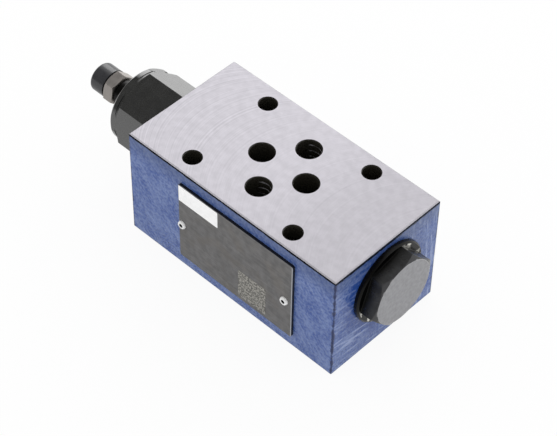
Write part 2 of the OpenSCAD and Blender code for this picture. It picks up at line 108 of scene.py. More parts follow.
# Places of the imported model
BLOCK_LOW, BLOCK_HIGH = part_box("valve_body")
PLATE_LOW, PLATE_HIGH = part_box("name_plate")
SCREW_LOW, SCREW_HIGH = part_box("adjusting_screw")
PLUG_LOW, PLUG_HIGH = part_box("end_plug")
PLUG_MIDDLE = (PLUG_LOW + PLUG_HIGH) / 2
SLEEVE_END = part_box("adjuster_sleeve")[0].x
AXIS = Vector((0, 0, (SCREW_LOW.z + SCREW_HIGH.z) / 2))
MOUNTS = {mount["name"]: Vector(mount["pos_m"]) for mount in frame["record"]["mounts"]}

# The range that most of a noise keeps to
NOISE_LOW, NOISE_HIGH = 0.3, 0.7

# Millimetres inside the block's sides at which bores begin, and from a channel's axis to its wall
OUTER_SKIN = 1
CHANNEL_REACH = 4

# A Mix node's sockets by kind: the amount, the first and the second input, and the output
MIX_SOCKETS = {"FLOAT": (0, 2, 3, 0), "RGBA": (0, 6, 7, 2)}

# Copies of solids: which points and faces are one, which edges are eased, and how much flat faces count
SAME_POINT = 0.002 * MM
SAME_FACE = math.radians(0.5)
SHARP_EDGE = math.radians(28)
FLAT_FACE_WEIGHT = 100

# A face whose normal goes this far along the axis lies square to it
SQUARE_FACING = 0.995

# The thread's crest and root, as shares of half a pitch, and the distance at which its points are joined
CREST, ROOT = 0.15, 0.85
THREAD_JOIN = 0.001 * MM

# Angles past which an edge of the screw and of a spring's wire is shaded sharp
THREAD_EDGE = math.radians(35)
WIRE_EDGE = math.radians(50)

# Where gloss sees the floor change, in metres along Y
FLOOR_FRONT, FLOOR_BEHIND = -0.05, 0.12

# Where gloss sees the surroundings change, as parts of a direction of length 1
SKY_FRONT, SKY_BEHIND = -0.1, 0.5
SKY_LEFT, SKY_REST = -0.48, -0.43
SKY_OVER, SKY_BELOW = 0.5, 0.35


def srgb(*steps):
    """Linear colour of one that is given in eight-bit sRGB steps."""
    levels = [step / 255 for step in steps]
    return [level / 12.92 if level <= 0.04045 else ((level + 0.055) / 1.055) ** 2.4 for level in levels]


def colour(label, description, default):
    """A colour that the user can change."""
    return FloatVectorProperty(
        name=label, description=description, subtype="COLOR", size=3, min=0, max=1, default=default)


def length(label, description, default):
    """A length that the user can change."""
    return FloatProperty(name=label, description=description, unit="LENGTH", precision=5, default=default)


def placing(label, description, default, subtype="TRANSLATION"):
    """A place or a turn that the user can change."""
    return FloatVectorProperty(
        name=label, description=description, subtype=subtype, precision=5, default=default)


def number(label, description, default):
    """A plain number that the user can change."""
    return FloatProperty(name=label, description=description, precision=3, default=default)


def count(label, description, default, least):
    """A whole number that the user can change."""
    return IntProperty(name=label, description=description, default=default, min=least)


class BlockLook(bpy.types.PropertyGroup):
    """Finish of the cast block."""

    # The deep paint is also used for the painted shade around the plug's flange on the end face.
    deep: colour("Deep paint", "Colour of the painted sides where the paint lies thick", srgb(38, 72, 144))
    paint: colour("Paint", "Colour of the painted sides", srgb(106, 126, 176))
    ground: colour("Ground face", "Colour of the two ground faces", srgb(207, 204, 211))
    bare: colour("Bare iron", "Colour of the drilled and cored walls", srgb(46, 44, 38))
    edge: colour("Edge line", "Colour of the line that runs along the upper edges", srgb(34, 40, 54))
    upper: colour("Upper paint", "Colour of the paint towards the upper edges", srgb(60, 76, 112))
    corner: colour("Corner line", "Colour of the line that runs along the upright edges", srgb(24, 36, 78))
    thin: colour("Thin paint", "Colour of the paint where the brush left it thin", srgb(142, 158, 200))
    foot: colour("Foot line", "Colour of the bare iron along the lower edges", srgb(112, 114, 122))
    grain: length("Casting grain", "Size of the sand grain under the paint", 0.9 * MM)
    edge_width: length("Edge width", "Height of the dark line under the upper face", 0.36 * MM)
    edge_drop: length("Edge drop", "Depth of the bright lip over the dark line", 0.35 * MM)
    corner_width: length("Corner width", "Width of the dark line on each side of an upright edge", 0.5 * MM)
    foot_width: length("Foot width", "Height of the bare line along the lower edges", 0.6 * MM)
    # The drill's marks are painted glints.
    drill_glint_pitch: length("Drill pitch", "Step between the drill's marks in two of the channels", 2.3 * MM)
    cutter: length("Cutter radius", "Radius of the milling marks on the ground faces", 32 * MM)


class PlateLook(bpy.types.PropertyGroup):
    """Finish of the name plate and of the bare fields on it."""

    metal: colour("Plate", "Colour of the plate's dark coat", srgb(97, 96, 96))
    edge: colour("Plate edge", "Colour of the plate's cut edges", srgb(14, 16, 22))
    stain: colour("Stain", "Colour of the warm patches on the plate", srgb(104, 97, 88))
    # The rim is a painted highlight, a light line along the plate's right edge.
    rim: colour("Rim", "Colour of the worn edge at the plate's right", srgb(170, 172, 178))
    white: colour("White field", "Colour of the white field", srgb(255, 255, 255))
    marked: colour("Marked field", "Colour of the lighter field at the lower right", srgb(128, 126, 120))
    field_height: length("Field height", "Height of the fields over the plate", 0.03 * MM)
    field_round: length("Field rounding", "Rounding of the fields' corners", 0.25 * MM)
    white_left: length("White left", "Distance of the white field from the plate's left", 0.1 * MM)
    white_drop: length("White drop", "Distance of the white field from the plate's top", 0.4 * MM)
    white_width: length("White width", "Width of the white field", 15.8 * MM)
    white_depth: length("White depth", "Height of the white field on the plate", 6.2 * MM)
    marked_left: length("Marked left", "Distance of the lighter field from the plate's left", 24.1 * MM)
    marked_rise: length("Marked rise", "Distance of the lighter field from the plate's foot", 1.3 * MM)
    marked_side: length("Marked side", "Side of the lighter field", 11 * MM)


class SteelLook(bpy.types.PropertyGroup):
    """Finishes of the metal, plastic and rubber pieces."""

    oxide: colour("Black oxide", "Colour of the blackened sleeve", srgb(27, 27, 25))
    plug: colour("Plug oxide", "Colour of the blackened plug", srgb(12, 12, 11))
    # The bright patches are partly wear and partly painted glints, kept to one side of the flange.
    flange: colour("Flange", "Colour of the bright patches on the plug's flange", srgb(226, 224, 216))
    # Painted reflection: the plug's flats lighten towards its face.
    flats_sheen: colour("Rubbed", "Colour of the plug's flats towards its face", srgb(52, 52, 53))
    # The neck colour is painted shade: on the sleeve's neck between the nut and the sleeve, and on the rim
    # of the plug's flange.
    neck: colour("Neck", "Colour of the neck and of the flange's rim", srgb(7, 6, 5))
    faced: colour("Faced end", "Colour of the plug's faced end", srgb(147, 147, 150))
    rim: colour("Rim", "Colour of the bright edge of the plug's faced end", srgb(182, 182, 184))
    turned: colour("Turned edge", "Colour of the chamfer round the plug's faced end", srgb(58, 58, 60))
    nut: colour("Nut", "Colour of the lock nut", srgb(190, 184, 179))
    pin: colour("Pin", "Colour of the bright pins", srgb(252, 252, 252))
    # The black eye is painted shade over the hole in a pin's head.
    pin_eye_shade: length("Pin eye", "Radius of the black eye in a pin's head", 0.7 * MM)
    cap: colour("Cap", "Colour of the plastic cap", srgb(48, 48, 51))
    spring: colour("Spring", "Colour of the spring wire", srgb(140, 138, 134))
    cut: colour("Cut steel", "Colour of the ground and turned inner pieces", srgb(176, 175, 174))
    brass: colour("Brass", "Colour of the jet", srgb(196, 160, 92))
    # In the pins' eyes the rubber colour is painted shade.
    rubber: colour("Rubber", "Colour of the seals and of the pins' eyes", srgb(24, 24, 25))
    backup: colour("Back-up ring", "Colour of the back-up ring", srgb(226, 222, 210))
    # The deep black of the neck is painted shade.
    neck_length: length("Neck length", "Length of the sleeve's neck that is deep black", 6.8 * MM)
    flange_height: length("Flange height", "Height over the block up to which the flange goes", 1.65 * MM)
    ease: length("Eased edge", "Width to which the sharp edges of steel pieces are eased", 0.25 * MM)


class ScrewShape(bpy.types.PropertyGroup):
    """Sizes of the adjusting screw's thread and socket."""

    pitch: length("Pitch", "Rise of the thread in one turn", 1 * MM)
    depth: length("Thread depth", "Depth of the thread", 0.54 * MM)
    chamfer: length("Chamfer", "Chamfer at both ends", 0.6 * MM)
    socket: length("Socket", "Width across the flats of the socket", 3 * MM)
    socket_depth: length("Socket depth", "Depth of the socket", 3 * MM)
    columns: count("Columns", "Points around the thread", 48, least=12)
    rows: count("Rows", "Points along one turn of the thread", 10, least=6)


class SpringShape(bpy.types.PropertyGroup):
    """Sizes of the two springs' wires."""

    pilot_wire: length("Pilot wire", "Wire diameter of the pilot spring", 1 * MM)
    pilot_turns: count("Pilot turns", "Turns of the pilot spring", 5, least=3)
    pilot_still: number("Still turn", "Turn of the pilot spring that neither end moves", 3.275)
    main_wire: length("Main wire", "Wire diameter of the main spring", 0.6 * MM)
    main_turns: count("Main turns", "Turns of the main spring", 8, least=3)
    closed: number("Closed turn", "Rise of an end turn in wire diameters", 1.1)
    steps: count("Steps", "Points along one turn of a wire", 40, least=12)
    sides: count("Sides", "Points around a wire", 12, least=6)


class StageLook(bpy.types.PropertyGroup):
    """Camera, lamp, surroundings and floor."""

    camera_place: placing("Camera place", "Where the camera stands", (0.26411, -0.28258, 0.4403))
    camera_turn: placing("Camera turn", "How the camera is turned", [
        math.radians(angle) for angle in (42.466, -0.773, 43.969)], subtype="EULER")
    lens: FloatProperty(
        name="Lens", description="Focal length on a 36 mm sensor", subtype="DISTANCE_CAMERA", default=126.03)
    nearest: length("Nearest", "Distance from which the camera sees", 0.01)
    sky: number("Sky", "Brightness of the even light from all around", 1.0)
    dim: number("Dim", "Brightness that gloss shows in front of the object", 0.14)
    glow: number("Glow", "Brightness that gloss shows behind the object", 1.0)
    over: number("Over", "Part of these that gloss shows high up, except at the left", 0.7)
    key: FloatProperty(name="Key", description="Power of the large lamp behind", unit="POWER", default=2.4)
    key_size: length("Key size", "Diameter of the large lamp", 0.75)
    key_place: placing("Key place", "Where the large lamp hangs", (-0.46, 0.74, 0.55))
    floor: colour("Floor", "Colour of the floor", (0.86, 0.86, 0.86))
    floor_half: length("Floor half", "Half the side of the floor", 3.0)
    floor_white: number("Floor white", "Part of the floor's look that is plain white to the camera", 0.92)
    floor_dim: number("Floor dim", "Brightness of the floor in front, as gloss shows it", 0.6)


class Tree:
    """A node tree that is built up by short calls."""

    def __init__(self, tree):
        self.tree = tree

    @classmethod
    def cleared(cls, owner):
        """An empty tree of a material or a world."""
        owner.use_nodes = True
        owner.node_tree.nodes.clear()
        return cls(owner.node_tree)

    def feed(self, socket, value):
        """Links a socket, or sets its value."""
        if isinstance(value, bpy.types.NodeSocket):
            self.tree.links.new(value, socket)
        elif socket.type == "RGBA" and len(value) == 3:
            socket.default_value = (*value, 1)
        else:
            socket.default_value = value

    def add(self, kind, inputs=(), **settings):
        """Adds a node with its settings, and with its inputs by name or in order."""
        node = self.tree.nodes.new(kind)
        for name, value in settings.items():
            setattr(node, name, value)
        for name, value in inputs.items() if isinstance(inputs, dict) else enumerate(inputs):
            self.feed(node.inputs[name], value)
        return node

    def out(self, kind, inputs=(), **settings):
        """Adds a node, and gives its first output."""
        return self.add(kind, inputs, **settings).outputs[0]

    def math(self, operation, *values):
        """What an operation makes of its values."""
        return self.out("ShaderNodeMath", values, operation=operation)

    def plus(self, *values):
        """The sum of values."""
        return reduce(partial(self.math, "ADD"), values)

    def minus(self, first, second):
        """One value less another."""
        return self.math("SUBTRACT", first, second)

    def times(self, *values):
        """The product of values."""
        return reduce(partial(self.math, "MULTIPLY"), values)

    def rest(self, amount):
        """What an amount leaves of 1."""
        return self.minus(1.0, amount)

    def split(self, vector):
        """The three values of a vector."""
        return self.add("ShaderNodeSeparateXYZ", (vector,)).outputs

    def rise(self, value, low, high, start=0.0, end=1.0, soft=True):
        """A value that goes from start to end while another goes from low to high."""
        return self.out("ShaderNodeMapRange", (value, low, high, start, end),
                        interpolation_type="SMOOTHSTEP" if soft else "LINEAR")

    def rays(self):
        """The rays that see a surface straight or through glass, and those that see it by gloss."""
        path = self.add("ShaderNodeLightPath").outputs
        straight = self.math("MAXIMUM", path["Is Camera Ray"], path["Is Transmission Ray"])
        return straight, path["Is Glossy Ray"]


class Finish(Tree):
    """A material on the Principled shader, with its detail in millimetres of the object."""

    def __init__(self, name, metallic=0.0, ior=1.5):
        self.material = bpy.data.materials.new(name)
        self.material.use_nodes = True
        super().__init__(self.material.node_tree)
        self.shader = self.tree.nodes["Principled BSDF"]
        self.set(Metallic=metallic, IOR=ior)
        surface = self.add("ShaderNodeTexCoord").outputs
        self.place = self.scaled(surface["Object"], 1 / MM)
        self.x, self.y, self.z = self.split(self.place)
        self.facing_x, self.facing_y, self.facing_z = self.split(surface["Normal"])

    def set(self, **sockets):
        """Links or sets sockets of the shader."""
        for name, value in sockets.items():
            self.feed(self.shader.inputs[name.replace("_", " ")], value)
        return self

    def scaled(self, vector, factor):
        """A place or a colour that is multiplied by a factor."""
        return self.out("ShaderNodeVectorMath", {"Vector": vector, "Scale": factor}, operation="SCALE")

    def noise(self, size, detail=3.0, stretch=None, turn=(0, 0, 0)):
        """Noise with lumps of a size in millimetres, which may be stretched along turned axes."""
        place = self.place
        if stretch:
            angles = [math.radians(angle) for angle in turn]
            place = self.out("ShaderNodeMapping", {"Vector": place, "Rotation": angles, "Scale": stretch},
                             vector_type="TEXTURE")
        return self.out("ShaderNodeTexNoise", {"Vector": place, "Scale": 1 / size, "Detail": detail})

    def spread(self, noise, start, end):
        """A value that goes from start to end over the usual range of a noise."""
        return self.rise(noise, NOISE_LOW, NOISE_HIGH, start, end)

    def mix(self, amount, first, second, kind="RGBA"):
        """A colour that goes from one to another as an amount goes from 0 to 1."""
        node = self.add("ShaderNodeMix", data_type=kind)
        *inputs, output = MIX_SOCKETS[kind]
        for socket, value in zip(inputs, (amount, first, second)):
            self.feed(node.inputs[socket], value)
        return node.outputs[output]

    def part(self, amount, first, second):
        """A value that goes from one to another in the same way."""
        return self.mix(amount, first, second, kind="FLOAT")

    def square(self, facing):
        """Where the surface lies square to an axis, by how far it faces along it."""
        return self.rise(self.math("ABSOLUTE", facing), 0.8, 0.9)

    def inset(self, value, low, high):
        """How far a place lies inside two limits."""
        return self.math("MINIMUM", self.minus(value, low), self.minus(high, value))

    def distance(self, centre, axes):
        """How far a place lies from a centre, across two axes."""
        steps = [self.minus(getattr(self, axis), getattr(centre, axis) / MM) for axis in axes]
        return self.math("SQRT", self.plus(*(self.times(step, step) for step in steps)))

    def bump(self, height, depth, under=None):
        """Bends the surface by a height of up to a depth in millimetres."""
        inputs = {"Height": height, "Distance": depth * MM, "Strength": 1.0}
        return self.out("ShaderNodeBump", inputs | ({"Normal": under} if under else {}))


class Shape(Tree):
    """A Geometry Nodes tree with named sizes, and the plain mesh that it makes."""

    def __init__(self, name, sizes):
        super().__init__(bpy.data.node_groups.new(name, "GeometryNodeTree"))
        self.sizes = sizes
        self.tree.interface.new_socket("Geometry", in_out="OUTPUT", socket_type="NodeSocketGeometry")
        for label, value in sizes.items():
            kind = {int: "Int", float: "Float"}.get(type(value), "Material")
            self.tree.interface.new_socket(label, in_out="INPUT", socket_type="NodeSocket" + kind)
        self.given = self.tree.nodes.new("NodeGroupInput").outputs

    def spot(self, x, y, z):
        """A place from its three values."""
        return self.out("ShaderNodeCombineXYZ", (x, y, z))

    def around_axis(self, along, radius, angle):
        """A place along the X axis, at a radius and an angle around it."""
        return self.spot(along, self.times(radius, self.math("COSINE", angle)),
                         self.times(radius, self.math("SINE", angle)))

    def piece(self, geometry, name, start, sharp_edge):
        """Ends the tree, and gives a smooth plain mesh object of what it makes, from a place on the axis."""
        real = self.out("GeometryNodeRealizeInstances", (geometry,))
        coated = self.out("GeometryNodeSetMaterial", {"Geometry": real, "Material": self.given["Material"]})
        self.add("NodeGroupOutput", (coated,))
        carrier = new_object(name, bpy.data.meshes.new(name + "_carrier"))
        maker = carrier.modifiers.new(self.tree.name, "NODES")
        maker.node_group = self.tree
        for item in self.tree.interface.items_tree:
            if item.in_out == "INPUT":
                maker[item.identifier] = self.sizes[item.name]
        made = make_plain(carrier)
        made.data.transform(Matrix.Translation((start, AXIS.y, AXIS.z)))
        made.data.shade_smooth()
        made.data.set_sharp_from_angle(angle=sharp_edge)
        return made


def new_object(name, data):
    """An object of the given data, in the scene."""
    made = bpy.data.objects.new(name, data)
    bpy.context.scene.collection.objects.link(made)
    return made


def make_plain(piece):
    """Turns a piece and its modifiers into a plain mesh."""
    spent = piece.data
    depsgraph = bpy.context.evaluated_depsgraph_get()
    plain = bpy.data.meshes.new_from_object(piece.evaluated_get(depsgraph))
    piece.modifiers.clear()
    piece.data = plain
    plain.name = piece.name
    bpy.data.meshes.remove(spent)
    if not plain.polygons:
        raise RuntimeError(piece.name + " has no faces")
    return piece


def piece_of(shape, name, material):
    """An object of a finished bmesh shape, in one material."""
    mesh = bpy.data.meshes.new(name)
    shape.to_mesh(mesh)
    shape.free()
    mesh.materials.append(material)
    return new_object(name, mesh)


def coat(node, material):
    """Gives a CAD node its finish."""
    for slot in frame["nodes"][node].material_slots:
        slot.material = material


def stand_for(piece, node):
    """Lets a piece show in place of a CAD node, on the node's body."""
    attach(piece, body_of(frame["nodes"][node])[0])
    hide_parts(node)
    return piece


def eased_copy(node, width, material):
    """A copy of a CAD node with its sharp edges eased, which stands for the node."""
    shape = bmesh.new()
    shape.from_mesh(frame["nodes"][node].data)
    bmesh.ops.remove_doubles(shape, verts=shape.verts, dist=SAME_POINT)
    bmesh.ops.dissolve_limit(shape, angle_limit=SAME_FACE, verts=shape.verts, edges=shape.edges)
    piece = piece_of(shape, node + "_eased", material)
    mesh = piece.data
    if "custom_normal" in mesh.attributes:
        mesh.attributes.remove(mesh.attributes["custom_normal"])
    mesh.shade_smooth()
    bevel = piece.modifiers.new("Eased edges", "BEVEL")
    bevel.width = width
    bevel.segments = 2
    bevel.limit_method = "ANGLE"
    bevel.angle_limit = SHARP_EDGE
    flats = piece.modifiers.new("Flat faces", "WEIGHTED_NORMAL")
    flats.weight = FLAT_FACE_WEIGHT
    return stand_for(make_plain(piece), node)


def brush_strokes(finish, on_end, at_right):
    """Strokes of the brush: slanted on the long sides, level at an end's left and upright at its right."""
    slanted = finish.noise(1.5, detail=4, stretch=(6, 1, 1), turn=(0, 49, 0))
    level = finish.noise(1.3, detail=4, stretch=(1, 8, 1), turn=(-9, 0, 0))
    upright = finish.noise(1.3, detail=4, stretch=(1, 1, 8), turn=(4, 0, 0))
    return finish.part(on_end, slanted, finish.part(at_right, level, upright))


def ground_face(finish, look):
    """Colour of the ground faces, with a painted shade that darkens them towards the plug's end, and the
    arcs that the cutter left on them.
    """
    bow = finish.math("SQRT", finish.minus((look.cutter / MM) ** 2, finish.times(finish.y, finish.y)))
    sweep = finish.plus(finish.x, bow)
    arcs = finish.out(
        "ShaderNodeTexNoise", {"W": sweep, "Scale": 1.8, "Detail": 4.0}, noise_dimensions="1D")
    marks = finish.times(finish.minus(arcs, 0.5), finish.rise(finish.x, 0, BLOCK_LOW.x / MM, 0.14, 0.5))
    polish = finish.plus(finish.spread(finish.noise(2.5, detail=6), 0.945, 1.045), marks)
    # Painted shade: the ground faces darken to 0.88 of their colour from the middle towards the plug's end.
    shade = finish.times(polish, finish.rise(finish.x, 0, 32, 1.0, 0.88))
    return finish.scaled(look.ground, shade), arcs


def bore_walls(finish, look):
    """Colour of the bare walls, with painted glints on the drill's marks in the pump and tank channels, on
    the walls that face the front.
    """
    away = [finish.distance(MOUNTS[name], "xy") for name in ("channel_p", "channel_t")]
    in_channel = finish.rise(finish.math("MINIMUM", *away), CHANNEL_REACH + 0.2, CHANNEL_REACH)
    half_step = look.drill_glint_pitch / MM / 2
    rings = finish.rise(finish.math("PINGPONG", finish.z, half_step), half_step - 0.25, half_step - 0.05)
    # Painted glints: bright rings in the ground colour on the channel walls that face the front.
    glints = finish.times(in_channel, rings, finish.rise(finish.facing_y, -0.65, -0.9),
                          finish.rise(finish.noise(1.6), 0.35, 0.55, 0.1, 0.6))
    darker_bare = [channel * 0.5 for channel in look.bare]
    walls = finish.mix(finish.noise(2, detail=4), look.bare, darker_bare)
    return finish.mix(glints, walls, look.ground)


def painted_iron(look):
    """Cast iron with glossy painted sides, two ground faces and bare bores."""
    finish = Finish("painted_iron")
    low, high = BLOCK_LOW / MM, BLOCK_HIGH / MM
    from_end = finish.inset(finish.x, low.x, high.x)
    from_side = finish.inset(finish.y, low.y, high.y)
    inside = finish.rise(finish.math("MINIMUM", from_end, from_side), OUTER_SKIN - 0.1, OUTER_SKIN + 0.1)
    outside = finish.rest(inside)
    on_end = finish.square(finish.facing_x)

    # Paint, with a painted shade around the plug's flange on the end face, darker towards the upper edges,
    # and thin in streaks
    lumps = finish.noise(look.grain / MM, detail=3)
    clouds = finish.noise(7, detail=5)
    at_right = finish.rise(finish.plus(finish.y, finish.spread(clouds, -6, 6)), 8, 15)
    strokes = brush_strokes(finish, on_end, at_right)
    tone = finish.plus(finish.spread(lumps, 0.22, 0.98), finish.spread(clouds, -0.2, 0.2),
                       finish.rise(strokes, 0.25, 0.75, -0.2, 0.2))
    # Painted shade: the end face darkens around the plug's flange, mostly on its left side, where the flange
    # would cast shade.
    flange_shade = finish.rise(finish.distance(PLUG_MIDDLE, "yz"), 20, 13.6, 0, 0.7)
    tone = finish.minus(tone, finish.times(on_end, finish.rise(finish.y, 8, -4), flange_shade))
    at_left = finish.rise(finish.z, 24, 10, 0.3, 0.9)
    streaked = finish.part(on_end, 0.1, finish.part(at_right, at_left, 0.95))
    streaks = finish.times(streaked, finish.rise(strokes, 0.52, 0.63))
    paint = finish.mix(streaks, finish.mix(tone, look.deep, look.paint), look.thin)
    high_up = finish.rise(finish.z, high.z - 9, high.z - 1.5, 0, 0.5)
    paint = finish.mix(high_up, paint, look.upper)

    # Edges: a bright lip over a dark line, dark upright corners and a bare foot
    wander = finish.noise(2.4, detail=4)
    burr = finish.plus(finish.z, finish.spread(wander, -0.13, 0.13))
    lip = high.z - look.edge_drop / MM
    line = lip - look.edge_width / MM
    dark = finish.rise(finish.plus(burr, finish.times(on_end, 0.25)), line - 0.2, line + 0.1)
    corner = finish.plus(finish.math("MAXIMUM", from_end, from_side), finish.spread(wander, 0.3, -0.3))
    reach = look.corner_width / MM
    worn = finish.rise(corner, reach + 0.25, reach - 0.25, 0, 0.92)
    foot_top = look.foot_width / MM
    foot = finish.rise(burr, foot_top + 0.2, foot_top - 0.1, 0, 0.8)
    sides = finish.mix(dark, finish.mix(worn, finish.mix(foot, paint, look.foot), look.corner), look.edge)

    over_lip = finish.times(outside, finish.rise(finish.z, lip - 0.05, lip + 0.05))
    ground = finish.math("MAXIMUM", finish.square(finish.facing_z), over_lip)
    faces, arcs = ground_face(finish, look)
    rough = finish.part(dark, finish.spread(clouds, 0.2, 0.28), 0.15)
    grit = finish.plus(lumps, finish.times(strokes, finish.rise(on_end, 0, 1, 0.5, 0.8)))
    milled = finish.bump(finish.times(arcs, ground), 0.004)
    return finish.set(
        Base_Color=finish.mix(ground, finish.mix(inside, sides, bore_walls(finish, look)), faces),
        Metallic=finish.part(ground, finish.times(dark, outside), 0.4),
        Roughness=finish.part(ground, rough, 0.62),
        Normal=finish.bump(finish.times(grit, finish.rest(ground)), 0.13, under=milled)).material


def plate_metal(look):
    """Dark coated sheet with fine brushing, a painted highlight along its right edge, and black on its cut
    edges.
    """
    finish = Finish("plate_coat")
    brushing = finish.noise(0.25, detail=2, stretch=(40, 1, 1))
    mottle = finish.noise(2.2, detail=6)
    shade = finish.plus(finish.spread(brushing, 0.85, 1.15), finish.spread(mottle, -0.25, 0.25))
    stained = finish.rise(finish.noise(6, detail=3), 0.45, 0.75, 0, 0.4)
    warm = finish.mix(stained, finish.scaled(look.metal, shade), look.stain)
    # Painted highlight along the plate's right edge.
    right = PLATE_HIGH.x / MM
    rim = finish.mix(finish.rise(finish.x, right - 0.45, right - 0.3, 0, 0.8), warm, look.rim)
    cut = finish.rise(finish.facing_y, -0.75, -0.55)
    return finish.set(
        Base_Color=finish.mix(cut, rim, look.edge), Roughness=finish.spread(mottle, 0.34, 0.48),
        Normal=finish.bump(brushing, 0.004)).material


def field_print(name, base, contrast, speck):
    """A bare field of flat colour with a speckle."""
    finish = Finish(name)
    specks = finish.noise(speck, detail=2)
    return finish.set(
        Base_Color=finish.scaled(base, finish.rise(specks, 0.4, 0.6, 1 - contrast, 1 + contrast)),
        Roughness=finish.spread(specks, 0.42, 0.55), Normal=finish.bump(specks, 0.006)).material


def oxide_skin(finish, base, roughness):
    """Colour and roughness of blackened steel with fine turning marks, which bend its surface too."""
    bloom = finish.noise(3, detail=5)
    lines = finish.noise(0.22, detail=2, stretch=(1, 14, 14))
    shade = finish.plus(finish.spread(bloom, 0.8, 1.2), finish.spread(lines, -0.1, 0.1))
    finish.set(Normal=finish.bump(lines, 0.002))
    return finish.scaled(base, shade), finish.spread(bloom, roughness - 0.05, roughness + 0.05)


def black_steel(name, base, ior, **film):
    """Blackened steel, which may have a film of oil."""
    finish = Finish(name, ior=ior).set(**film)
    skin, rough = oxide_skin(finish, base, 0.25)
    return finish.set(Base_Color=skin, Roughness=rough).material


def neck_shade_steel(look):
    """Blackened steel of the sleeve's neck and of the flange's rim, made deep black as painted shade."""
    return black_steel("neck_oxide", look.neck, ior=1.3)


def plug_steel(look):
    """Blackened steel with a bright-turned end face and chamfer, and a painted reflection that lightens its
    flats towards the face.
    """
    finish = Finish("plug_oxide", ior=1.35)
    skin, rough = oxide_skin(finish, look.plug, 0.3)
    tip = PLUG_HIGH.x / MM
    # Painted reflection, broken up by noise: the flats lighten over the last few millimetres towards the
    # face.
    sheen_breakup = finish.rise(finish.noise(3, detail=4, stretch=(2, 1, 1)), 0.3, 0.6, 0.4, 1)
    skin = finish.mix(finish.times(sheen_breakup, finish.rise(finish.x, tip - 4.5, tip - 1)), skin, look.flats_sheen)
    end = finish.rise(finish.x, tip - 1.6, tip - 1.4)
    faced = finish.times(end, finish.rise(finish.facing_x, 0.93, 0.99))
    turned = finish.times(end, finish.rise(finish.facing_x, 0.3, 0.6))
    rim = finish.times(
        turned, finish.rise(finish.facing_x, 0.88, 0.91), finish.rise(finish.facing_x, 0.99, 0.97))
    marks = finish.spread(finish.noise(1.2, detail=5), 0.88, 1.1)
    pits = finish.rise(finish.noise(0.8, detail=1), 0.24, 0.2, 0, 0.7)
    face = finish.mix(pits, finish.scaled(look.faced, marks), look.oxide)
    chamfer = finish.mix(turned, skin, finish.scaled(look.turned, marks))
    return finish.set(
        Base_Color=finish.mix(rim, finish.mix(faced, chamfer, face), look.rim),
        Metallic=rim,
        Roughness=finish.part(turned, rough, finish.part(faced, 0.15, 0.42))).material


def patched_glint_steel(look):
    """Polished steel that is black on one side, and blackened except for a few bright worn patches on the
    other; the patches are kept to that side so that they also paint in its glints.
    """
    finish = Finish("flange_steel", metallic=1.0)
    # The patches are kept off the upper left of the flange, so that they stand in for glints as well as
    # wear.
    lean = finish.minus(finish.minus(finish.z, finish.y), (PLUG_MIDDLE.z - PLUG_MIDDLE.y) / MM)
    patches = finish.times(finish.rise(lean, 13, 6), finish.rise(finish.noise(2.6, detail=3), 0.44, 0.56))
    return finish.set(
        Base_Color=finish.mix(patches, look.plug, look.flange),
        Roughness=finish.rise(patches, 0, 1, 0.2, 0.1)).material


def turned_metal(name, base, roughness, groove=0.3):
    """Turned or ground metal with fine marks across its axis and a faint bloom."""
    finish = Finish(name, metallic=1.0)
    lines = finish.noise(groove, detail=2, stretch=(1, 12, 12))
    bloom = finish.noise(2.2, detail=4)
    shade = finish.plus(finish.spread(lines, 0.92, 1.05), finish.spread(bloom, -0.07, 0.05))
    return finish.set(
        Base_Color=finish.scaled(base, shade),
        Roughness=finish.spread(bloom, roughness - 0.06, roughness + 0.08),
        Normal=finish.bump(lines, 0.002)).material


def pin_metal(name, node, look):
    """Bright steel with a black eye of painted shade over the hole in the middle of a pin's head."""
    finish = Finish(name, metallic=0.2)
    low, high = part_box(node)
    radius = look.pin_eye_shade / MM
    # Painted shade: a black disc over the pin's hole.
    eye = finish.rise(finish.distance((low + high) / 2, "xz"), radius + 0.1, radius - 0.1)
    bloom = finish.noise(0.6, detail=3)
    bright = finish.scaled(look.pin, finish.spread(bloom, 0.92, 1.02))
    return finish.set(
        Base_Color=finish.mix(eye, bright, look.rubber),
        Roughness=finish.spread(bloom, 0.2, 0.3)).material


def moulded(name, base, roughness, grain, depth, ior=1.5):
    """Moulded plastic or rubber with a fine skin."""
    finish = Finish(name, ior=ior)
    skin = finish.noise(grain, detail=3)
    dust = finish.noise(4, detail=4)
    shade = finish.plus(finish.spread(skin, 0.9, 1.06), finish.rise(dust, 0.4, 0.7, 0, 0.12))
    return finish.set(
        Base_Color=finish.scaled(base, shade),
        Roughness=finish.spread(dust, roughness - 0.06, roughness + 0.06),
        Normal=finish.bump(skin, depth)).material


def coat_stretch(piece, material, low_x, high_x, least_facing=-1.0):
    """Gives another finish to faces in a stretch of the axis that face along it at least so far."""
    piece.data.materials.append(material)
    for face in piece.data.polygons:
        if low_x < face.center.x < high_x and face.normal.x >= least_facing:
            face.material_index = len(piece.data.materials) - 1


def field_on_plate(name, look, left, low, width, depth, material):
    """Lays a thin field with rounded corners on the front of the name plate."""
    shape = bmesh.new()
    radius = look.field_round
    right, high = left + width - radius, low + depth - radius
    left, low = left + radius, low + radius
    outline = []
    for quarter, (x, z) in enumerate(((right, high), (left, high), (left, low), (right, low))):
        for step in (0, 30, 60, 90):
            angle = math.radians(90 * quarter + step)
            outline.append((x + radius * math.cos(angle), z + radius * math.sin(angle)))
    back, front = ([shape.verts.new((x, y, z)) for x, z in outline]
                   for y in (PLATE_LOW.y, PLATE_LOW.y - look.field_height))
    shape.faces.new(front)
    shape.faces.new(back[::-1])
    for index in range(len(outline)):
        shape.faces.new((front[index - 1], back[index - 1], back[index], front[index]))
    piece = piece_of(shape, name, material)
    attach(piece, "valve")


